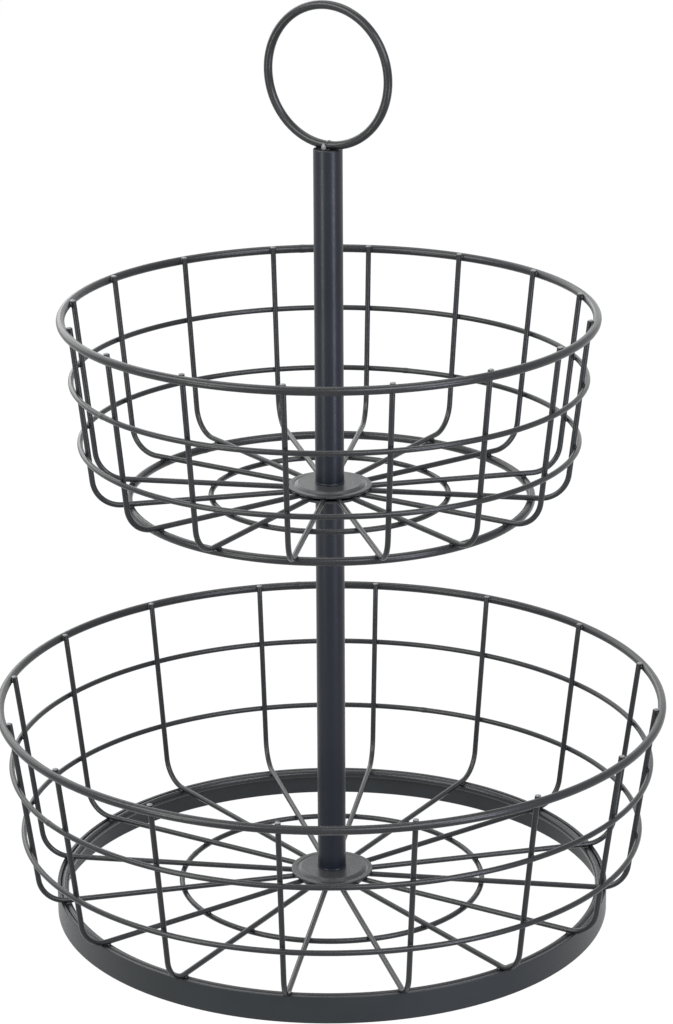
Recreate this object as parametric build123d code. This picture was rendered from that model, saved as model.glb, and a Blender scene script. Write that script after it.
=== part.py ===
from build123d import *
from math import cos, pi, radians, sin, tan
import os

# Tiered wire basket: two round wire baskets on a pole in two screwed sections, with a ring handle.
# Millimetres, +Z up. The origin is on the pole's axis, on the surface that the foot band stands on.

# Wire, strip, sheet and tube stock
thin_wire_d = 2.2
heavy_wire_d = 3.5
handle_wire_d = 3.8
band_t = 1.6
hub_sheet_t = 1.2
tube_d = 12.7
tube_wall = 1.0

# The wires are many and thin, so each is drawn with flats for its round section, as wide across flats
# as the wire, and with straight runs for its curves, whose middles lie on the true curve. The foot band
# has straight runs of the same kind
heavy_flat_count = 6
thin_flat_count = 6
pitch_run_count = 2
bend_run_count = 4
band_run_count = 64

# Fits: a gap on the radius, or between two faces that are welded
weld_gap = 0.02
press_gap = 0.02
thread_gap = 0.05
clear_gap = 0.3

# Ribs, alike on both tiers
rib_count = 16
rib_bend_r = 13.0
rib_inner_r = 7.5
rib_stand = 0.5

# Lower tier: radii of ring centrelines, heights of ring centrelines below the rim's, and how far the
# foot band's outside stands out from where the ribs' bends meet the floor
lower_rim_r = 148.0
lower_rim_rise = 85.8
lower_ring_drops = (27.6, 59.5)
lower_taper_deg = 7.8
lower_floor_ring_r = 68.3
lower_band_outset = 3.0
lower_band_h = 12.4
lower_turn_deg = 2.5

# Upper tier, and how far the foot ring's centreline lies inside where the ribs' bends meet the floor
upper_rim_r = 115.9
upper_rim_rise = 79.2
upper_ring_drops = (27.4, 55.5)
upper_taper_deg = 6.5
upper_floor_ring_r = 52.2
upper_foot_inset = 3.9
upper_turn_deg = 1.8

# Hubs: a disc on the spokes, raised in its middle, and a flat plate under them
hub_disc_r = 18.5
hub_step_r = 15.7
hub_step_run = 1.6
hub_step_rise = 0.8
hub_plate_r = 14.8

# Pole sections and what closes their ends
lower_tube_len = 178.7
upper_tube_len = 149.3
tube_edge = 0.4
plug_len = 12.0
plug_recess = 0.3
cap_len = 6.0
cap_recess = 0.4

# Joining stud, base screw and washer, M6 with the thread drawn at its outside diameter
stud_d = 6.0
stud_engage = 9.0
stud_edge = 0.6
screw_engage = 6.0
screw_head_r = 5.5
screw_head_h = 3.5
screw_socket_flats = 4.0
screw_socket_depth = 2.0
screw_socket_side_count = 6
washer_r = 6.0
washer_t = 1.0

# Ring handle
handle_r = 30.0
handle_turn_deg = -32.4

# Worked out from the sizes above: the ribs' pitch, then heights from the foot up
level = 90.0
rib_pitch_deg = 360 / rib_count
stack_half = (thin_wire_d / 2) + weld_gap
lower_spoke_z = lower_band_h + stack_half
lower_tube_z = lower_spoke_z + stack_half + hub_sheet_t + hub_step_rise
upper_plate_z = lower_tube_z + lower_tube_len
upper_spoke_z = upper_plate_z + hub_sheet_t + stack_half
upper_tube_z = upper_spoke_z + stack_half + hub_sheet_t + hub_step_rise
cap_top_z = upper_tube_z + upper_tube_len - cap_recess
handle_z = cap_top_z + weld_gap + handle_wire_d / 2 + handle_r
plug_r = tube_d / 2 - tube_wall - press_gap
hub_hole_r = stud_d / 2 + clear_gap


def wire_section(wire_d, flats, facing_deg):
    """Section of a wire, with the middle of one flat turned down by the angle given from outward."""
    return Rot(0, 0, facing_deg - 180 / flats) * RegularPolygon(wire_d / 2, flats, major_radius=False)


def bent_wire(points, section, outward):
    """Wire that follows straight runs from point to point, one flat turned outward at its start."""
    start = Plane(origin=points[0], x_dir=outward, z_dir=points[1] - points[0])
    return sweep(start * section, path=Polyline(*points), transition=Transition.RIGHT)


def wire_ring(ring_r, ring_z, section, turn_deg):
    """Level ring of wire about the pole's axis, the middle of one run at the angle given."""
    runs = pitch_run_count * rib_count
    run_deg = 360 / runs
    middle = Vector(ring_r, 0, ring_z)
    corner = Vector(ring_r / cos(radians(run_deg / 2)), 0, ring_z)
    corners = [corner.rotate(Axis.Z, (number + 1 / 2) * run_deg) for number in range(runs)]
    return Rot(0, 0, turn_deg) * bent_wire([middle, *corners, middle], section, Vector(1, 0, 0))


def turned(points):
    """Solid turned about the pole's axis from an outline of (radius, height) points."""
    return revolve(Plane.XZ * make_face(Polyline(*points, close=True)), Axis.Z)


class Wall:
    """Where a tier's ribs run: a straight line in each rib's upright plane, tangent to the rim's inside."""

    def __init__(self, rim_r, rim_z, taper_deg):
        self.rim_r = rim_r
        self.rim_z = rim_z
        self.taper_deg = taper_deg
        reach = (heavy_wire_d + thin_wire_d) / 2 + weld_gap
        self.touch_r = rim_r - reach * cos(radians(taper_deg))
        self.touch_z = rim_z + reach * sin(radians(taper_deg))

    def rib_r(self, z):
        """Radius of the ribs' centreline at a height."""
        return self.touch_r - (self.touch_z - z) * tan(radians(self.taper_deg))

    def ring_r(self, z):
        """Radius at which a thin ring lies against the outside of the ribs."""
        return self.rib_r(z) + (thin_wire_d + weld_gap) / cos(radians(self.taper_deg))

    def floor_r(self, spoke_z):
        """Radius at which the ribs' bends meet the flat floor."""
        return self.rib_r(spoke_z) - rib_bend_r * tan(radians((level - self.taper_deg) / 2))


def rib(wall, spoke_z, turn_deg):
    """One rib: a straight wall upright, a bend, and a floor spoke that ends under the hub disc."""
    top_z = wall.rim_z + heavy_wire_d / 2 + rib_stand
    top = Vector(wall.rib_r(top_z), 0, top_z)
    end = Vector(rib_inner_r, 0, spoke_z)
    centre = Vector(wall.floor_r(spoke_z), 0, spoke_z + rib_bend_r)
    run_deg = (level - wall.taper_deg) / bend_run_count
    reach = Vector(rib_bend_r / cos(radians(run_deg / 2)), 0, 0)
    corners = [
        centre + reach.rotate(Axis.Y, wall.taper_deg + (number + 1 / 2) * run_deg)
        for number in range(bend_run_count)
    ]
    outward = Vector(1, 0, 0).rotate(Axis.Y, wall.taper_deg)
    wire = bent_wire([top, *corners, end], wire_section(thin_wire_d, thin_flat_count, 0), outward)
    return Rot(0, 0, turn_deg) * wire


def basket(tier, wall, ring_drops, spoke_z, floor_ring_r, turn_deg):
    """Rim, two wall rings, floor ring, ribs and hub of one tier."""
    first_deg = turn_deg + rib_pitch_deg / 2
    rim_section = wire_section(heavy_wire_d, heavy_flat_count, wall.taper_deg)
    wall_section = wire_section(thin_wire_d, thin_flat_count, wall.taper_deg)
    floor_section = wire_section(thin_wire_d, thin_flat_count, level)
    pieces = {f"{tier}_rim": wire_ring(wall.rim_r, wall.rim_z, rim_section, first_deg)}
    for place, drop in zip(("top", "bottom"), ring_drops):
        ring_z = wall.rim_z - drop
        pieces[f"{tier}_wall_ring_{place}"] = wire_ring(wall.ring_r(ring_z), ring_z, wall_section, first_deg)
    floor_ring_z = spoke_z - thin_wire_d - weld_gap
    pieces[f"{tier}_floor_ring"] = wire_ring(floor_ring_r, floor_ring_z, floor_section, first_deg)
    for number in range(rib_count):
        pieces[f"{tier}_rib_{number + 1:02d}"] = rib(wall, spoke_z, first_deg + number * rib_pitch_deg)
    pieces[f"{tier}_hub_disc"] = hub_disc(spoke_z + stack_half)
    pieces[f"{tier}_hub_plate"] = hub_plate(spoke_z - stack_half - hub_sheet_t)
    return pieces


def hub_disc(z):
    """Disc with a flat rim on the spokes, and a sloped step up to the middle that the pole stands on."""
    top = z + hub_sheet_t
    return turned([
        (hub_hole_r, z),
        (hub_disc_r, z),
        (hub_disc_r, top),
        (hub_step_r, top),
        (hub_step_r - hub_step_run, top + hub_step_rise),
        (hub_hole_r, top + hub_step_rise),
    ])


def hub_plate(z):
    """Flat round plate under the spokes, with the screw's hole."""
    return turned([
        (hub_hole_r, z),
        (hub_plate_r, z),
        (hub_plate_r, z + hub_sheet_t),
        (hub_hole_r, z + hub_sheet_t),
    ])


def lower_foot(wall):
    """Flat steel band on its edge, and a wire ring inside its top edge under the spokes."""
    band_r = wall.floor_r(lower_spoke_z) + lower_band_outset
    inner_r = band_r - band_t
    outside = RegularPolygon(band_r, band_run_count, major_radius=False)
    inside = RegularPolygon(inner_r, band_run_count, major_radius=False)
    band = extrude(outside - inside, lower_band_h)
    run_deg = rib_pitch_deg / pitch_run_count
    wire_corner_r = heavy_wire_d / 2 / cos(pi / heavy_flat_count)
    ring_r = (inner_r - weld_gap) * cos(radians(run_deg / 2)) - wire_corner_r
    ring_z = lower_band_h - heavy_wire_d / 2
    section = wire_section(heavy_wire_d, heavy_flat_count, level)
    inner_ring = wire_ring(ring_r, ring_z, section, lower_turn_deg + rib_pitch_deg / 2)
    return {"lower_foot_band": band, "lower_foot_inner_ring": inner_ring}


def upper_foot(wall):
    """Round wire ring under the upper tier's spokes."""
    ring_r = wall.floor_r(upper_spoke_z) - upper_foot_inset
    ring_z = upper_spoke_z - stack_half - heavy_wire_d / 2
    section = wire_section(heavy_wire_d, heavy_flat_count, level)
    return {"upper_foot_ring": wire_ring(ring_r, ring_z, section, upper_turn_deg + rib_pitch_deg / 2)}


def pole_tube(z, length):
    """Pole tube with a small bevel round the outside of both ends."""
    outer_r = tube_d / 2
    inner_r = outer_r - tube_wall
    return turned([
        (inner_r, z),
        (outer_r - tube_edge, z),
        (outer_r, z + tube_edge),
        (outer_r, z + length - tube_edge),
        (outer_r - tube_edge, z + length),
        (inner_r, z + length),
    ])


def pole_plug(z, bore_gap):
    """Plug fixed in a tube's end, bored for the thread."""
    bore_r = stud_d / 2 + bore_gap
    return turned([(bore_r, z), (plug_r, z), (plug_r, z + plug_len), (bore_r, z + plug_len)])


def pole_cap():
    """Plug pressed into the pole's head, its top a little inside the tube's end."""
    bottom = cap_top_z - cap_len
    return turned([(0, bottom), (plug_r, bottom), (plug_r, cap_top_z), (0, cap_top_z)])


def joining_stud():
    """Stud fixed in the lower section's head; the upper section screws down on it."""
    bottom = upper_plate_z - plug_recess - plug_len
    top = upper_tube_z + plug_recess + stud_engage
    stud_r = stud_d / 2
    return turned([
        (0, bottom),
        (stud_r, bottom),
        (stud_r, top - stud_edge),
        (stud_r - stud_edge, top),
        (0, top),
    ])


def base_washer(z):
    """Washer between the lower hub's plate and the screw's head."""
    return turned([
        (hub_hole_r, z),
        (washer_r, z),
        (washer_r, z + washer_t),
        (hub_hole_r, z + washer_t),
    ])


def base_screw(head_top_z):
    """Socket screw, head down, up through the washer and the hub into the lower section's foot."""
    shank_r = stud_d / 2
    tip_z = lower_tube_z + plug_recess + screw_engage
    head_z = head_top_z - screw_head_h
    screw = turned([
        (0, head_z),
        (screw_head_r, head_z),
        (screw_head_r, head_top_z),
        (shank_r, head_top_z),
        (shank_r, tip_z),
        (0, tip_z),
    ])
    socket = extrude(
        Pos(0, 0, head_z) * RegularPolygon(screw_socket_flats / 2, screw_socket_side_count, major_radius=False),
        screw_socket_depth,
    )
    return screw - socket


def handle_ring():
    """Round wire ring, upright on the cap, its foot let a little way into the tube's end."""
    lying_ring = wire_ring(handle_r, 0, wire_section(handle_wire_d, heavy_flat_count, 0), 0)
    return Pos(0, 0, handle_z) * Rot(0, 0, handle_turn_deg) * Rot(level, 0, 0) * lying_ring


def build():
    """Every piece by its name."""
    wall = Wall(lower_rim_r, lower_spoke_z + lower_rim_rise, lower_taper_deg)
    pieces = basket("lower", wall, lower_ring_drops, lower_spoke_z, lower_floor_ring_r, lower_turn_deg)
    pieces |= lower_foot(wall)
    wall = Wall(upper_rim_r, upper_spoke_z + upper_rim_rise, upper_taper_deg)
    pieces |= basket("upper", wall, upper_ring_drops, upper_spoke_z, upper_floor_ring_r, upper_turn_deg)
    pieces |= upper_foot(wall)
    pieces["lower_pole_tube"] = pole_tube(lower_tube_z, lower_tube_len)
    pieces["lower_pole_foot_nut"] = pole_plug(lower_tube_z + plug_recess, thread_gap)
    pieces["lower_pole_head_plug"] = pole_plug(upper_plate_z - plug_recess - plug_len, press_gap)
    pieces["joining_stud"] = joining_stud()
    pieces["upper_pole_tube"] = pole_tube(upper_tube_z, upper_tube_len)
    pieces["upper_pole_foot_nut"] = pole_plug(upper_tube_z + plug_recess, thread_gap)
    pieces["pole_cap"] = pole_cap()
    pieces["handle_ring"] = handle_ring()
    washer_z = lower_spoke_z - stack_half - hub_sheet_t - washer_t
    pieces["base_washer"] = base_washer(washer_z)
    pieces["base_screw"] = base_screw(washer_z)
    return pieces


parts = build()
os.makedirs("parts", exist_ok=True)
for name, piece in parts.items():
    piece.label = name
    export_step(piece, f"parts/{name}.step")
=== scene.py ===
from math import cos, pi, radians, sin, tan

import bpy
import numpy as np
from mathutils import Matrix


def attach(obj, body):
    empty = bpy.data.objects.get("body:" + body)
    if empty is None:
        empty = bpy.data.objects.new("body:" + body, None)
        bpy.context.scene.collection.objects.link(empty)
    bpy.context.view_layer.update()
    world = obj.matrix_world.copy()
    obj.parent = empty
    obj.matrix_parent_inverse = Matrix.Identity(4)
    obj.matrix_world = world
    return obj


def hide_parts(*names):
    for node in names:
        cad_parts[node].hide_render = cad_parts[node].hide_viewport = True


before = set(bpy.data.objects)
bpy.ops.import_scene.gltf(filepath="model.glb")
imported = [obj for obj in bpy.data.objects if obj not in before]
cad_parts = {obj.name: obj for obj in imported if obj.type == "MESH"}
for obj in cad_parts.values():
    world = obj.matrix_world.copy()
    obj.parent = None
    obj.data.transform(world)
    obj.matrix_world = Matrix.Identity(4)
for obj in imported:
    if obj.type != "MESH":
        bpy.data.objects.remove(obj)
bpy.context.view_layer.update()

# Tiered wire basket. Lengths are millimetres until a mesh is made, where MM turns them to metres. Lamps and
# camera are placed in metres.
MM = 0.001

# Stock and fits, as the CAD has them
thin_wire_d = 2.2
heavy_wire_d = 3.5
handle_wire_d = 3.8
band_t = 1.6
sheet_t = 1.2
tube_r = 6.35
tube_wall = 1.0
weld_gap = 0.02
cap_gap = 0.02
stack_half = thin_wire_d / 2 + weld_gap
# The coat on the baskets' wires, laid on outside the CAD's bare steel
coat_t = 0.13

# Ribs, and the radius to which the coat rounds their cut ends
rib_count = 16
rib_bend_r = 13.0
rib_inner_r = 7.5
cut_edge_r = 0.35
# The CAD's rib stands 0.5 above the rim: the last of it here is a low cap of weld over the cut end
rib_stand = 0.05
end_cap_out = 0.3

# Welds where wires cross, as their spread along the wires and their depth between them
rim_weld = (1.55, 0.85)
ring_weld = (1.3, 0.7)
foot_weld = (1.5, 0.7)
end_cap_weld = (1.3, 0.45)

# Butt welds of the rings: how much the wire swells, over what half width, how far off it is still drawn
# finely, and where round the pole they lie
seam_rise = 0.12
seam_width = 1.3
seam_near = 5.2
tier_seams = {
    "rim": radians(96),
    "wall_ring_top": radians(212),
    "wall_ring_bottom": radians(71),
    "floor_ring": radians(158),
}
inner_ring_seam = radians(40)
upper_foot_seam = radians(130)

# Hubs
hub_disc_r = 18.5
hub_step_r = 15.7
hub_step_run = 1.6
hub_step_rise = 0.8
hub_plate_r = 14.8
hub_plate_edge = 0.2
hub_hole_r = 3.3
# The press tool's fine groove round the foot of the disc's step
groove_w = 0.55
groove_depth = 0.25
groove_lip_w = 0.35
groove_lip_h = 0.1

# Foot, pole and handle
band_h = 12.4
band_edge = 0.35
band_stand_out = 3.0
upper_foot_stand_in = 3.9
lower_spoke_z = band_h + stack_half
lower_tube_z = lower_spoke_z + stack_half + sheet_t + hub_step_rise
lower_tube_len = 178.7
upper_spoke_z = lower_tube_z + lower_tube_len + sheet_t + stack_half
upper_tube_z = upper_spoke_z + stack_half + sheet_t + hub_step_rise
upper_tube_len = 149.3
tube_edge = 0.4
tube_lip_w = 0.16
tube_lip_h = 0.42
tube_lip_end = 0.75
cap_len = 6.0
cap_recess = 0.4
cap_top_z = upper_tube_z + upper_tube_len - cap_recess
handle_r = 30.0
handle_turn = radians(-32.4)
handle_z = cap_top_z + weld_gap + handle_wire_d / 2 + handle_r

# The handle's butt weld, at its foot: the swell of the wire, and the fine ridge along the weld's middle
handle_seam = -pi / 2 + 0.02
handle_swell_rise = 0.12
handle_swell_width = 1.4
handle_ridge_rise = 0.18
handle_ridge_width = 0.36
handle_seam_near = 3.5

# Stud, base screw and washer, M6 coarse thread
thread_r = 3.0
thread_pitch = 1.0
thread_depth = 0.55
thread_flat = 0.1875
plug_len = 12.0
plug_recess = 0.3
stud_grip = 9.0
screw_grip = 6.0
stud_bottom_z = lower_tube_z + lower_tube_len - plug_recess - plug_len
stud_top_z = upper_tube_z + plug_recess + stud_grip
stud_lead = 0.8
washer_r = 6.0
washer_t = 1.0
washer_edge = 0.15
washer_z = lower_spoke_z - stack_half - sheet_t - washer_t
screw_head_r = 5.5
screw_head_h = 3.5
screw_sunk = 0.2
screw_tip_z = lower_tube_z + plug_recess + screw_grip
screw_lead = 0.6
socket_flats = 4.0
socket_depth = 2.0
socket_hex_r = 2.5
socket_round_r = 3.7

# How finely round things are drawn, as numbers of points
wire_sides = 16
ring_steps = 256
seam_steps = 17
bend_steps = 17
straight_steps = 8
turned_steps = 160
washer_steps = 64
handle_steps = 180
handle_seam_steps = 41
weld_rows = 5
weld_sides = 8
bead_rows = 13
bead_sides = 24
thread_rows = 8
thread_sides = 48
corner_steps = 5
corner_points = corner_steps + 2
# Share of a corner's rounding after which its flats begin, and the angle from which an edge is sharp
corner_flat = 0.35
sharp_edge = radians(40)

upright = np.array([0.0, 0.0, 1.0])
sideways = np.array([0.0, 1.0, 0.0])


def even_angles(count):
    """Angles evenly round a full turn, from zero."""
    return np.arange(count) * (2 * pi / count)


class Tier:
    """One basket: its rings' sizes, and where its ribs run in their own upright planes."""

    def __init__(self, name, rim_r, rim_rise, ring_drops, taper_deg, floor_ring_r, turn_deg, spoke_z):
        self.name = name
        self.body = f"{name}_basket"
        self.rim_r = rim_r
        self.rim_z = spoke_z + rim_rise
        self.ring_heights = [self.rim_z - drop for drop in ring_drops]
        self.taper = radians(taper_deg)
        self.floor_ring_r = floor_ring_r
        self.spoke_z = spoke_z
        self.first_angle = radians(turn_deg + 180 / rib_count)
        reach = (heavy_wire_d + thin_wire_d) / 2 + weld_gap
        self.touch_r = rim_r - reach * cos(self.taper)
        self.touch_z = self.rim_z + reach * sin(self.taper)
        self.top_z = self.rim_z + heavy_wire_d / 2 + rib_stand
        self.floor_r = self.rib_r(spoke_z) - rib_bend_r * tan(pi / 4 - self.taper / 2)

    def rib_r(self, z):
        """Radius of the ribs' centreline at a height."""
        return self.touch_r - (self.touch_z - z) * tan(self.taper)

    def ring_r(self, z):
        """Radius at which a thin ring lies against the outside of the ribs."""
        return self.rib_r(z) + (thin_wire_d + weld_gap) / cos(self.taper)

    def rib_angles(self):
        """Angles of the ribs round the pole."""
        return self.first_angle + even_angles(rib_count)


lower = Tier("lower", rim_r=148.0, rim_rise=85.8, ring_drops=(27.6, 59.5), taper_deg=7.8, floor_ring_r=68.3,
             turn_deg=2.5, spoke_z=lower_spoke_z)
upper = Tier("upper", rim_r=115.9, rim_rise=79.2, ring_drops=(27.4, 55.5), taper_deg=6.5, floor_ring_r=52.2,
             turn_deg=1.8, spoke_z=upper_spoke_z)
band_r = lower.floor_r + band_stand_out
inner_ring_r = band_r - band_t - weld_gap - heavy_wire_d / 2
inner_ring_z = band_h - heavy_wire_d / 2
upper_foot_r = upper.floor_r - upper_foot_stand_in
upper_foot_z = upper_spoke_z - stack_half - heavy_wire_d / 2


# Meshes

def about_pole(r, angle, z):
    """Points at a radius and an angle about the pole's axis, and a height: (r cos a, r sin a, z)."""
    return np.stack(np.broadcast_arrays(r * np.cos(angle), r * np.sin(angle), z), -1)


def turn_about_pole(points, angle):
    """Points turned about the pole's axis: x' = x cos a - y sin a, y' = x sin a + y cos a."""
    x, y, z = np.moveaxis(points, -1, 0)
    turned_x = x * np.cos(angle) - y * np.sin(angle)
    turned_y = x * np.sin(angle) + y * np.cos(angle)
    return np.stack(np.broadcast_arrays(turned_x, turned_y, z), -1)


def grid_faces(rows, sides, closed):
    """Faces of a grid that wraps round its sides, and round its rows where closed. An open grid is shut by
    fans to two more points, numbered after the grid's own."""
    row = np.arange(rows if closed else rows - 1)[:, None]
    side = np.arange(sides)[None, :]
    ahead, beside = (row + 1) % rows, (side + 1) % sides
    corners = (row * sides + side, row * sides + beside, ahead * sides + beside, ahead * sides + side)
    quads = np.stack(np.broadcast_arrays(*corners), -1).reshape(-1, 4)
    if closed:
        return quads, np.zeros((0, 3), int)
    side, beside = side[0], beside[0]
    first = np.stack([np.full(sides, rows * sides), beside, side], -1)
    last = np.stack([np.full(sides, rows * sides + 1), side, beside], -1)
    last[:, 1:] += (rows - 1) * sides
    return quads, np.concatenate([first, last])


def skin(name, grids, closed, finish, body, replaced=()):
    """Piece whose surface is one or more grids of points, (grids, rows, sides, xyz), alike in closing. The
    faces are turned over where the volume, a sixth of each triangle's a . (b x c), comes out negative."""
    grids = grids.reshape((-1,) + grids.shape[-3:])
    count, rows, sides = grids.shape[:3]
    points = grids.reshape(count, -1, 3)
    if not closed:
        points = np.concatenate([points, grids[:, :1].mean(2), grids[:, -1:].mean(2)], 1)
    quads, fans = grid_faces(rows, sides, closed)
    triangles = np.concatenate([quads[:, :3], quads[:, [0, 2, 3]], fans])
    a, b, c = (points[0, triangles[:, k]] for k in range(3))
    if (a * np.cross(b, c)).sum() < 0:
        quads, fans = quads[:, ::-1], fans[:, ::-1]
    first = np.arange(count)[:, None, None] * points.shape[1]
    faces = (quads + first).reshape(-1, 4).tolist() + (fans + first).reshape(-1, 3).tolist()
    mesh = bpy.data.meshes.new(name)
    mesh.from_pydata((points.reshape(-1, 3) * MM).tolist(), [], faces)
    mesh.polygons.foreach_set("use_smooth", np.ones(len(faces), bool))
    mesh.set_sharp_from_angle(angle=sharp_edge)
    mesh.update()
    piece = bpy.data.objects.new(name, mesh)
    bpy.context.scene.collection.objects.link(piece)
    material, slot = finish
    mesh.materials.append(material)
    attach(piece, body)
    if replaced:
        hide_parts(*replaced)


def wire_grid(path, across, radii, closed):
    """Round wire: circles about the path's points, square to its run. across is the unit normal of the
    plane that the path lies in, and run x across is the other way across the wire."""
    if closed:
        run = np.roll(path, -1, 0) - np.roll(path, 1, 0)
    else:
        run = np.gradient(path, axis=0)
    run /= np.linalg.norm(run, axis=1, keepdims=True)
    other = np.cross(run, across)[:, None]
    angle = even_angles(wire_sides)[:, None]
    circle = np.cos(angle) * other + np.sin(angle) * across
    return path[:, None] + np.reshape(radii, (-1, 1, 1)) * circle


def round_from_seam(ring_r, near, near_steps, far_steps):
    """Angles once round a ring of wire from its seam, close together to the distance near on both sides of
    it, and how far along the wire each is from the seam: the smaller of a and 2 pi - a, times the radius."""
    close = np.linspace(-1, 1, near_steps) * near / ring_r
    rest = np.linspace(close[-1], 2 * pi + close[0], far_steps)[1:-1]
    angle = np.concatenate([close, rest])
    return angle, np.minimum(abs(angle), 2 * pi - abs(angle)) * ring_r


def level_ring(ring_r, z, wire_d, seam_angle):
    """Ring of wire round the pole, butt-welded at the seam's angle: there the wire swells by
    seam_rise exp(-(d / seam_width)^2), where d is the distance along the wire."""
    angle, away = round_from_seam(ring_r, seam_near, seam_steps, ring_steps)
    swell = seam_rise * np.exp(-(away / seam_width) ** 2)
    path = about_pole(ring_r, angle + seam_angle, z)
    return wire_grid(path, upright, wire_d / 2 + coat_t + swell, True)


def rib_grid(tier):
    """One rib, in the plane of X and Z: down the wall's line, round the bend's arc and in along the floor,
    by the length along it. Its cut ends are rounded over by the coat, as a quarter circle."""
    lean = np.array([sin(tier.taper), cos(tier.taper)])
    top = np.array([tier.rib_r(tier.top_z), tier.top_z])
    centre = np.array([tier.floor_r, tier.spoke_z + rib_bend_r])
    bend_start = centre + rib_bend_r * np.array([cos(tier.taper), -sin(tier.taper)])
    wall_end = np.linalg.norm(top - bend_start)
    bend_end = wall_end + rib_bend_r * (pi / 2 - tier.taper)
    rib_end = bend_end + tier.floor_r - rib_inner_r
    cut = cut_edge_r * np.array([0, 0.08, 0.3, 0.6, 1.0])
    along = np.concatenate([
        cut,
        np.linspace(cut_edge_r, wall_end, straight_steps)[1:-1],
        np.linspace(wall_end, bend_end, bend_steps),
        np.linspace(bend_end, rib_end - cut_edge_r, straight_steps)[1:-1],
        rib_end - cut[::-1],
    ])[:, None]
    turned = -tier.taper - (along - wall_end) / rib_bend_r
    on_wall = top - along * lean
    on_bend = centre + rib_bend_r * np.hstack([np.cos(turned), np.sin(turned)])
    on_floor = np.hstack([tier.floor_r + bend_end - along, np.full_like(along, tier.spoke_z)])
    line = np.where(along < wall_end, on_wall, np.where(along < bend_end, on_bend, on_floor))
    path = np.insert(line, 1, 0.0, axis=1)
    inside = np.clip(np.minimum(along, rib_end - along) / cut_edge_r, 0, 1)
    radii = thin_wire_d / 2 + coat_t - cut_edge_r * (1 - np.sqrt(1 - (1 - inside) ** 2))
    return wire_grid(path, sideways, radii, False)


def weld_grids(contact_r, contact_z, normal_angle, size, angles):
    """Welds where wires cross, at each of the angles round the pole: ellipsoids half sunk in both wires,
    whose size is their spread along the wires and their depth along the line between the wires' centres,
    which stands at normal_angle above outward."""
    spread, depth = size
    across = np.linspace(0, pi, weld_rows + 2)[1:-1, None]
    around = even_angles(weld_sides)
    out = depth * np.cos(across)
    side = spread * np.sin(across) * np.cos(around)
    up = spread * np.sin(across) * np.sin(around)
    ca, sa = cos(normal_angle), sin(normal_angle)
    blob = np.stack([contact_r + out * ca - up * sa, side, contact_z + out * sa + up * ca], -1)
    return turn_about_pole(blob[None], angles[:, None, None])


def rounded(corners):
    """Outline with its corners rounded, from rows of radius, height and rounding: each is a curve
    (1-t)^2 a + 2t(1-t) corner + t^2 b between the points a and b, which lie the rounding before and after
    it, with one more point on each side that keeps the flats flat."""
    corners = np.array(corners, float)
    places, rounding = corners[:, :2], corners[:, 2:]
    before = np.roll(places, 1, 0) - places
    after = np.roll(places, -1, 0) - places
    before *= rounding / np.linalg.norm(before, axis=1, keepdims=True)
    after *= rounding / np.linalg.norm(after, axis=1, keepdims=True)
    a, b = places + before, places + after
    t = np.linspace(0, 1, corner_steps)[:, None]
    curve = (1 - t) ** 2 * a[:, None] + 2 * t * (1 - t) * places[:, None] + t ** 2 * b[:, None]
    flat_a, flat_b = a + corner_flat * before, b + corner_flat * after
    return np.concatenate([flat_a[:, None], curve, flat_b[:, None]], 1).reshape(-1, 2)


def rounded_to_axis(corners):
    """Rounded outline whose first and last corners lie on the pole's axis. Their points are left off,
    because the fans that shut an open grid meet there."""
    return rounded(corners)[corner_points:-corner_points]


def turned_grid(outline, steps=turned_steps):
    """Outline of (radius, height) points carried round the pole's axis."""
    return about_pole(outline[:, :1], even_angles(steps), outline[:, 1:])


def hub_disc_outline(z):
    """Pressed disc: a flat rim on the spokes, the press tool's fine groove, and a raised middle for the
    pole."""
    top = z + sheet_t
    return rounded([
        (hub_hole_r, z, 0.15),
        (hub_disc_r, z, 0.45),
        (hub_disc_r, top, 0.45),
        (hub_step_r + groove_w, top, 0.12),
        (hub_step_r, top - groove_depth, 0.1),
        (hub_step_r - groove_lip_w, top + groove_lip_h, 0.1),
        (hub_step_r - hub_step_run, top + hub_step_rise, 0.25),
        (hub_hole_r, top + hub_step_rise, 0.15),
    ])


def ring_outline(inner_r, outer_r, z, height, edge):
    """Flat-sided ring, such as a plate, washer or band, with all its edges rounded alike."""
    top = z + height
    return rounded([(inner_r, z, edge), (outer_r, z, edge), (outer_r, top, edge), (inner_r, top, edge)])


def tube_outline(z, length):
    """Tube with its head's edge bevelled and a low lip rolled outward round its foot."""
    inner_r, lip_r, top = tube_r - tube_wall, tube_r + tube_lip_w, z + length
    return rounded([
        (inner_r, z, 0.15),
        (lip_r, z, 0.14),
        (lip_r, z + tube_lip_h, 0.14),
        (tube_r, z + tube_lip_end, 0.15),
        (tube_r, top, tube_edge),
        (inner_r, top, 0.2),
    ])


def cap_outline():
    """Plug that closes the upper tube's head."""
    r, z = tube_r - tube_wall - cap_gap, cap_top_z - cap_len
    return rounded_to_axis([(0, z, 0), (r, z, 0.4), (r, cap_top_z, 0.25), (0, cap_top_z, 0)])


def handle_grid():
    """Ring of wire in an upright plane turned about the pole. At its foot the two ends of the wire are
    butt-welded: the wire swells by rise exp(-(d / width)^2) and by a fine ridge of the same form."""
    angle, away = round_from_seam(handle_r, handle_seam_near, handle_seam_steps, handle_steps)
    swell = handle_swell_rise * np.exp(-(away / handle_swell_width) ** 2)
    ridge = handle_ridge_rise * np.exp(-(away / handle_ridge_width) ** 2)
    angle = angle + handle_seam
    path = handle_r * np.stack([np.cos(angle), 0 * angle, np.sin(angle)], -1)
    ring = wire_grid(path, sideways, handle_wire_d / 2 + swell + ridge, True)
    return turn_about_pole(ring, handle_turn) + handle_z * upright


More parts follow.
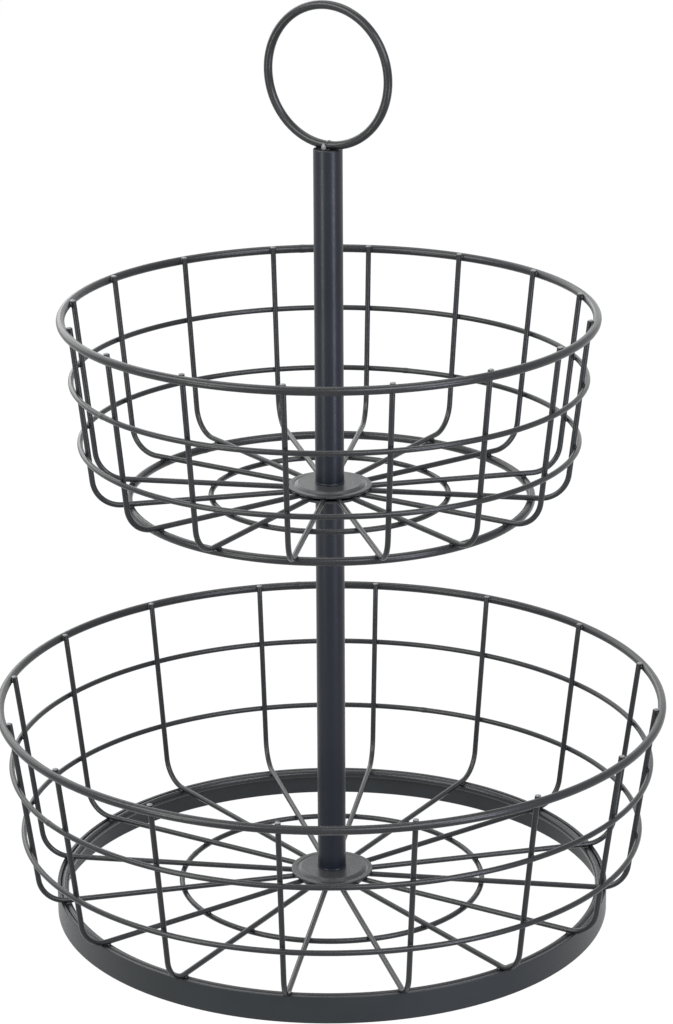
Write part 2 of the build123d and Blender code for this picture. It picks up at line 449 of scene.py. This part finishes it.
def weld_bead(along, out, width, height):
    """Bead of weld against the foot of the handle's ring, on the pole's head: a drop, narrower out from the
    ring's plane than along it, its radius width sqrt(1 - t^2) (1 - taper t) at height t from -1 to 1."""
    taper, narrowness, lift = 0.4, 0.8, 0.86
    t = -np.cos(np.linspace(0, pi, bead_rows + 2)[1:-1, None])
    angle = even_angles(bead_sides)
    r = width * np.sqrt(1 - t ** 2) * (1 - taper * t)
    x = along + r * np.cos(angle)
    y = -out + narrowness * r * np.sin(angle)
    z = cap_top_z + height * (lift + t)
    return turn_about_pole(np.stack(np.broadcast_arrays(x, y, z), -1), handle_turn)


def thread_grid(z0, z1, lead):
    """Screw thread: radius r - depth |2 f - 1| flattened at crest and root, where f is the fraction of
    z / pitch - angle / 2 pi, tapering to the root over the lead at both ends."""
    row_h = thread_pitch / thread_rows
    height = np.arange(z0, z1 + row_h / 2, row_h)[:, None]
    angle = even_angles(thread_sides)
    turns = height / thread_pitch - angle / (2 * pi)
    slope = abs(2 * (turns - np.floor(turns)) - 1)
    cut = np.clip((slope - thread_flat) / (1 - 2 * thread_flat), 0, 1)
    whole = np.clip(np.minimum(height - z0, z1 - height) / lead, 0, 1)
    return about_pole(thread_r - thread_depth * (1 - (1 - cut) * whole), angle, height)


def screw_head_grid():
    """Screw's head, from its socket's floor round to its seat under the washer. The socket's radius is
    a / cos(f), where a is half the width across its flats and f the angle from the nearest flat's middle.
    The underside turns from that hexagon to round between two radii."""
    flat, under = socket_flats / 2, washer_z - screw_head_h
    outline = rounded_to_axis([
        (0, under + socket_depth, 0),
        (flat, under + socket_depth, 0.12),
        (flat, under, 0.3),
        (screw_head_r, under, 0.9),
        (screw_head_r, washer_z, 0.2),
        (0, washer_z, 0),
    ])
    r, z = outline[:, :1], outline[:, 1:]
    angle = even_angles(turned_steps)
    hexagon = 1 / np.cos((angle + pi / 6) % (pi / 3) - pi / 6)
    share = np.clip((socket_round_r - r) / (socket_round_r - socket_hex_r), 0, 1)
    return about_pole(r * (1 + share * (hexagon - 1)), angle, z)


# Finishes

# Most of a noise texture lies between these values
noise_low = 0.3
noise_high = 0.7

# Powder coat's faint clouds of shade, and its specks, which are drawn coarser than the real ones so that they
# show, in millimetres
cloud_size = 45
speck_size = 0.7
speck_rise = 0.02
# Bright zinc's turning marks, likewise
turning_size = 1.5


def linear(hex_colour):
    """sRGB hex, such as 3a3c3e, to linear red, green, blue and alpha."""
    srgb = np.array([int(hex_colour[k:k + 2], 16) / 255 for k in (0, 2, 4)])
    rgb = np.where(srgb <= 0.04045, srgb / 12.92, ((srgb + 0.055) / 1.055) ** 2.4)
    return (*rgb.tolist(), 1.0)


def add(tree, kind, inputs=None, **settings):
    """Adds a node with its settings; inputs are values or the sockets that feed them, by socket name."""
    node = tree.nodes.new(kind)
    for name, value in settings.items():
        setattr(node, name, value)
    for name, value in (inputs or {}).items():
        if isinstance(value, bpy.types.NodeSocket):
            tree.links.new(value, node.inputs[name])
        else:
            node.inputs[name].default_value = value
    return node


def new_finish(name):
    """Empty node material, its tree and its output node."""
    finish = bpy.data.materials.new(name)
    finish.use_nodes = True
    finish.node_tree.nodes.clear()
    return finish, finish.node_tree, finish.node_tree.nodes.new("ShaderNodeOutputMaterial")


def colour_between(tree, noise, dark, light):
    """Colour that goes from one hex colour to the other as the noise goes from low to high."""
    ramp = add(tree, "ShaderNodeValToRGB", {"Fac": noise})
    stops = ((noise_low, dark), (noise_high, light))
    for element, (place, hex_colour) in zip(ramp.color_ramp.elements, stops):
        element.position = place
        element.color = linear(hex_colour)
    return ramp.outputs["Color"]


def powder_coat(name, dark, light, roughness, peel_size, peel_rise):
    """Satin black polyester powder coat, baked on steel: the powder melts to a skin with soft orange peel, so
    highlights are broad and a little broken, with tiny specks where a grain didn't flow out."""
    finish, tree, output = new_finish(name)
    place = add(tree, "ShaderNodeTexCoord").outputs["Object"]
    cloud = add(tree, "ShaderNodeTexNoise", {
        "Vector": place, "Scale": 1 / (cloud_size * MM), "Detail": 3.0, "Roughness": 0.6})
    speck = add(tree, "ShaderNodeTexNoise", {
        "Vector": place, "Scale": 1 / (speck_size * MM), "Detail": 2.0})
    peel = add(tree, "ShaderNodeTexNoise", {
        "Vector": place, "Scale": 1 / (peel_size * MM), "Detail": 1.5, "Roughness": 0.45})
    colour = colour_between(tree, cloud.outputs["Fac"], dark, light)
    rough = add(tree, "ShaderNodeMapRange", {
        "Value": speck.outputs["Fac"], "From Min": noise_low, "From Max": noise_high,
        "To Min": roughness - 0.05, "To Max": roughness + 0.07})
    peel_bump = add(tree, "ShaderNodeBump", {
        "Height": peel.outputs["Fac"], "Strength": 0.35, "Distance": peel_rise * MM})
    speck_bump = add(tree, "ShaderNodeBump", {
        "Height": speck.outputs["Fac"], "Strength": 0.2, "Distance": speck_rise * MM,
        "Normal": peel_bump.outputs["Normal"]})
    shader = add(tree, "ShaderNodeBsdfPrincipled", {
        "Base Color": colour, "Roughness": rough.outputs["Result"],
        "Normal": speck_bump.outputs["Normal"], "Specular IOR Level": 0.3})
    tree.links.new(shader.outputs["BSDF"], output.inputs["Surface"])
    return finish


def zinc_plate():
    """Bright zinc plate on turned steel hardware: pale grey metal, slightly blue, with fine turning marks."""
    finish, tree, output = new_finish("bright_zinc_plate")
    place = add(tree, "ShaderNodeTexCoord").outputs["Object"]
    marks = add(tree, "ShaderNodeMapping", {"Vector": place, "Scale": (1.0, 1.0, 8.0)})
    grain = add(tree, "ShaderNodeTexNoise", {
        "Vector": marks.outputs["Vector"], "Scale": 1 / (turning_size * MM), "Detail": 3.0})
    colour = colour_between(tree, grain.outputs["Fac"], "9a9ea2", "b9bcbf")
    rough = add(tree, "ShaderNodeMapRange", {"Value": grain.outputs["Fac"], "To Min": 0.22, "To Max": 0.42})
    shader = add(tree, "ShaderNodeBsdfPrincipled", {
        "Base Color": colour, "Metallic": 1.0, "Roughness": rough.outputs["Result"]})
    tree.links.new(shader.outputs["BSDF"], output.inputs["Surface"])
    return finish


# Each finish with the record's slot for it. A coat has two shades, a roughness, and its peel's size and rise.
# Baked on thin wire it flows out well and shines in a narrow line
wire_coat = (powder_coat("satin_powder_coat_on_wire", "181a1c", "1f2123", 0.27, 1.3, 0.06), "coated_wire")
# On the weld beads and the caps over the ribs' cut ends the coat is painted a lighter grey: a painted
# highlight for the light that their tops catch
bead_coat_painted_highlight = (powder_coat("weld_bead_coat_painted_highlight", "5e6062", "7a7c7e", 0.28, 0.9, 0.06), "coated_wire")
# The tube's black is a little blue, and its softer shine makes two dim streaks
tube_coat = (powder_coat("satin_powder_coat_on_tube", "0b1019", "10161f", 0.34, 1.8, 0.04), "coated_tube")
# The plug down in the tube's head is painted almost black, as painted shade in its recess, and its coat is
# dull
tube_head_coat_painted_shade = (powder_coat("tube_head_plug_painted_shade", "09090a", "0e0e0f", 0.85, 1.2, 0.08), "coated_tube")
# Pressed sheet is lighter, and its flat faces show the peel most
sheet_coat = (powder_coat("satin_powder_coat_on_sheet", "2c2d2f", "333436", 0.30, 1.4, 0.05), "coated_sheet")
# The foot's strip has the broadest and dimmest shine
band_coat = (powder_coat("satin_powder_coat_on_strip", "191d20", "1f2326", 0.38, 1.8, 0.05), "coated_band")
zinc = (zinc_plate(), "zinc_plated_steel")


# Baskets

def make_rings(tier):
    """Rim, wall rings and floor ring of one tier."""
    top_z, bottom_z = tier.ring_heights
    floor_ring_z = tier.spoke_z - thin_wire_d - weld_gap
    rings = {
        "rim": (tier.rim_r, tier.rim_z, heavy_wire_d),
        "wall_ring_top": (tier.ring_r(top_z), top_z, thin_wire_d),
        "wall_ring_bottom": (tier.ring_r(bottom_z), bottom_z, thin_wire_d),
        "floor_ring": (tier.floor_ring_r, floor_ring_z, thin_wire_d),
    }
    for place, (ring_r, z, wire_d) in rings.items():
        node = f"{tier.name}_{place}"
        ring = level_ring(ring_r, z, wire_d, tier_seams[place])
        skin(f"{node}_wire", ring, True, wire_coat, tier.body, [node])


def make_ribs(tier):
    """The ribs of one tier, all bent alike."""
    rib = rib_grid(tier)
    for number, angle in enumerate(tier.rib_angles(), 1):
        node = f"{tier.name}_rib_{number:02d}"
        skin(f"{node}_wire", turn_about_pole(rib, angle), False, wire_coat, tier.body, [node])


def make_welds(tier, foot_r):
    """Welds between the ribs of one tier and its rim, wall rings, floor ring and foot, whose radius is
    foot_r, and the caps of weld over the ribs' cut ends."""
    thin_half, angles = thin_wire_d / 2, tier.rib_angles()
    on_wall = [(tier.rim_r, tier.rim_z, heavy_wire_d / 2, rim_weld)]
    on_wall += [(tier.ring_r(z), z, thin_half, ring_weld) for z in tier.ring_heights]
    on_floor = [(tier.floor_ring_r, ring_weld), (foot_r, foot_weld)]
    welds = [
        weld_grids(ring_r - half * cos(tier.taper), z + half * sin(tier.taper), -tier.taper, size, angles)
        for ring_r, z, half, size in on_wall
    ]
    welds += [weld_grids(ring_r, tier.spoke_z - thin_half, pi / 2, size, angles) for ring_r, size in on_floor]
    skin(f"{tier.name}_welds", np.concatenate(welds), False, wire_coat, tier.body)
    cap_r = tier.rib_r(tier.top_z) + end_cap_out
    caps = weld_grids(cap_r, tier.top_z, pi / 2, end_cap_weld, angles)
    # The caps of weld are painted lighter grey, as a painted highlight
    skin(f"{tier.name}_rib_end_welds", caps, False, bead_coat_painted_highlight, tier.body)


def make_hub(tier):
    """Disc on top of the spokes of one tier, and plate under them."""
    disc = turned_grid(hub_disc_outline(tier.spoke_z + stack_half))
    plate_z = tier.spoke_z - stack_half - sheet_t
    plate = turned_grid(ring_outline(hub_hole_r, hub_plate_r, plate_z, sheet_t, hub_plate_edge))
    for node, grid in ((f"{tier.name}_hub_disc", disc), (f"{tier.name}_hub_plate", plate)):
        skin(f"{node}_sheet", grid, True, sheet_coat, tier.body, [node])


for tier, foot_r in ((lower, inner_ring_r), (upper, upper_foot_r)):
    make_rings(tier)
    make_ribs(tier)
    make_welds(tier, foot_r)
    make_hub(tier)

# Feet
band = turned_grid(ring_outline(band_r - band_t, band_r, 0, band_h, band_edge), ring_steps)
inner_ring = level_ring(inner_ring_r, inner_ring_z, heavy_wire_d, inner_ring_seam)
upper_foot = level_ring(upper_foot_r, upper_foot_z, heavy_wire_d, upper_foot_seam)
skin("lower_foot_band_strip", band, True, band_coat, "lower_basket", ["lower_foot_band"])
skin("lower_foot_inner_ring_wire", inner_ring, True, wire_coat, "lower_basket", ["lower_foot_inner_ring"])
skin("upper_foot_ring_wire", upper_foot, True, wire_coat, "upper_basket", ["upper_foot_ring"])

# Pole
lower_tube = turned_grid(tube_outline(lower_tube_z, lower_tube_len))
upper_tube = turned_grid(tube_outline(upper_tube_z, upper_tube_len))
skin("lower_pole_tube_coated", lower_tube, True, tube_coat, "lower_pole", ["lower_pole_tube"])
skin("upper_pole_tube_coated", upper_tube, True, tube_coat, "upper_pole", ["upper_pole_tube"])
# The plug in the tube's head is painted almost black, as painted shade
skin("pole_cap_coated", turned_grid(cap_outline()), False, tube_head_coat_painted_shade, "upper_pole", ["pole_cap"])

# Handle, with a bead of weld on each side of its foot and a flat one under it
beads = np.stack([
    weld_bead(along=-0.7, out=2.2, width=1.1, height=1.6),
    weld_bead(along=0.6, out=-2.0, width=1.3, height=1.2),
    weld_bead(along=0.3, out=0.2, width=1.5, height=0.45),
])
skin("handle_ring_wire", handle_grid(), True, wire_coat, "upper_pole", ["handle_ring"])
# The handle's beads of weld are painted lighter grey, as a painted highlight
skin("handle_weld", beads, False, bead_coat_painted_highlight, "upper_pole")

# Hardware
stud = thread_grid(stud_bottom_z, stud_top_z, stud_lead)
washer = turned_grid(ring_outline(hub_hole_r, washer_r, washer_z, washer_t, washer_edge), washer_steps)
screw = thread_grid(washer_z - screw_sunk, screw_tip_z, screw_lead)
skin("joining_stud_thread", stud, False, zinc, "lower_pole", ["joining_stud"])
skin("base_washer_plated", washer, True, zinc, "base_washer", ["base_washer"])
skin("base_screw_head", screw_head_grid(), False, zinc, "base_screw", ["base_screw"])
skin("base_screw_thread", screw, False, zinc, "base_screw")
plating, _ = zinc
for node in ("lower_pole_foot_nut", "lower_pole_head_plug", "upper_pole_foot_nut"):
    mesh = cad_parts[node].data
    mesh.materials.clear()
    mesh.materials.append(plating)


# Floor and world: white where the camera sees them, straight or in a reflection, and dimmer as lights

def seen_or_mirrored(tree):
    """Socket that is 1 on the camera's, glossy and transmission rays."""
    rays = add(tree, "ShaderNodeLightPath").outputs
    mirrored = add(tree, "ShaderNodeMath", {
        0: rays["Is Glossy Ray"], 1: rays["Is Transmission Ray"]}, operation="MAXIMUM")
    either = add(tree, "ShaderNodeMath", {
        0: rays["Is Camera Ray"], 1: mirrored.outputs[0]}, operation="MAXIMUM")
    return either.outputs[0]


# The floor is mostly its own white where it is seen, and a little of it is lit paper, for the shadow
floor_half = 8.0
own_white_share = 0.94
own_white = 1.045
floor_corners = [(floor_half * x, floor_half * y, 0) for x, y in ((-1, -1), (1, -1), (1, 1), (-1, 1))]
floor_mesh = bpy.data.meshes.new("floor")
floor_mesh.from_pydata(floor_corners, [], [(0, 1, 2, 3)])
floor = bpy.data.objects.new("floor", floor_mesh)
bpy.context.scene.collection.objects.link(floor)
paper, tree, output = new_finish("white_paper_sweep")
share = add(tree, "ShaderNodeMath", {0: seen_or_mirrored(tree), 1: own_white_share}, operation="MULTIPLY")
matt = add(tree, "ShaderNodeBsdfDiffuse", {"Color": linear("cccccc")})
glow = add(tree, "ShaderNodeEmission", {"Color": linear("ffffff"), "Strength": own_white})
mixed = add(tree, "ShaderNodeMixShader", {0: share.outputs[0], 1: matt.outputs[0], 2: glow.outputs[0]})
tree.links.new(mixed.outputs[0], output.inputs["Surface"])
floor_mesh.materials.append(paper)

world_as_light = 0.3
world = bpy.data.worlds.new("studio")
bpy.context.scene.world = world
world.use_nodes = True
tree = world.node_tree
tree.nodes.clear()
output = tree.nodes.new("ShaderNodeOutputWorld")
strength = add(tree, "ShaderNodeMapRange", {
    "Value": seen_or_mirrored(tree), "To Min": world_as_light, "To Max": 1.0})
sky = add(tree, "ShaderNodeBackground", {"Color": linear("ffffff"), "Strength": strength.outputs["Result"]})
tree.links.new(sky.outputs[0], output.inputs["Surface"])


# Lamps

def facing(place, forward, roll=0.0):
    """Matrix of a lamp or camera at a place, looking forward, turned by the roll about its line of sight."""
    back = -np.array(forward, float)
    back /= np.linalg.norm(back)
    side = np.cross(upright, back)
    side /= np.linalg.norm(side)
    rise = np.cross(back, side)
    matrix = np.eye(4)
    matrix[:3, 0] = cos(roll) * side + sin(roll) * rise
    matrix[:3, 1] = cos(roll) * rise - sin(roll) * side
    matrix[:3, 2] = back
    matrix[:3, 3] = place
    return Matrix(matrix.tolist())


def soft_box(name, turn_deg, distance, z, size, radiance, colour):
    """Rectangular lamp of a given radiance, at a turn to the right of the camera's side of the object and a
    distance from the pole, facing it. Its power is radiance times pi times its area."""
    lamp = bpy.data.lights.new(name, "AREA")
    lamp.shape = "RECTANGLE"
    lamp.size, lamp.size_y = size
    lamp.energy = radiance * pi * size[0] * size[1]
    lamp.color = linear(colour)[:3]
    holder = bpy.data.objects.new(name, lamp)
    bpy.context.scene.collection.objects.link(holder)
    turn = radians(turn_deg)
    place = np.array([distance * sin(turn), -distance * cos(turn), z])
    holder.matrix_world = facing(place, lamp_aim_z * upright - place)
    holder.visible_camera = False
    return holder


# Each lamp's turn, distance, height, width and height, radiance and colour
lamp_aim_z = 0.22
strips = [
    soft_box("strip_right", 42, 0.66, 0.14, (0.16, 0.22), 15.0, "dedef6"),
    soft_box("strip_left", -47, 0.66, 0.16, (0.14, 0.22), 11.0, "f4f5ea"),
]
soft_box("panel_right", 34, 1.15, 1.05, (1.15, 0.75), 7.5, "f6f6fa")
soft_box("panel_left", -57, 1.15, 1.05, (1.3, 0.75), 7.0, "f8f8f4")
soft_box("panel_back_left", -143, 1.5, 0.95, (1.75, 1.3), 2.0, "ffffff")
soft_box("panel_back", 172, 1.45, 0.66, (1.1, 0.8), 0.56, "ffffff")
soft_box("panel_top", 190, 0.45, 1.65, (1.2, 0.7), 3.0, "ffffff")

# The low strips give the pole its two streaks. The flat discs would mirror them as white spots in views from
# behind, so the strips leave the discs out
spared = bpy.data.collections.new("discs_spared_by_strips")
for tier in (lower, upper):
    spared.objects.link(bpy.data.objects[f"{tier.name}_hub_disc_sheet"])
for entry in spared.collection_objects:
    entry.light_linking.link_state = "EXCLUDE"
for strip in strips:
    strip.light_linking.receiver_collection = spared

# Camera: its place and the focal length, in pixels of the image's height, come from fitting the rings
frame_h = 1024
focal_px = 3486.6
camera_distance = 1.4560
camera_height = 0.6775
camera_pitch = 0.32509
camera_yaw = 0.00199
camera_roll = -0.00511
camera_data = bpy.data.cameras.new("camera")
camera_data.sensor_fit = "VERTICAL"
camera_data.sensor_height = 36
camera_data.lens = focal_px / frame_h * camera_data.sensor_height
camera_data.clip_end = 100
camera = bpy.data.objects.new("camera", camera_data)
bpy.context.scene.collection.objects.link(camera)
sight = (sin(camera_yaw) * cos(camera_pitch), cos(camera_yaw) * cos(camera_pitch), -sin(camera_pitch))
camera.matrix_world = facing((0, -camera_distance, camera_height), sight, camera_roll)
bpy.context.scene.camera = camera
bpy.context.scene.view_settings.view_transform = "Standard"
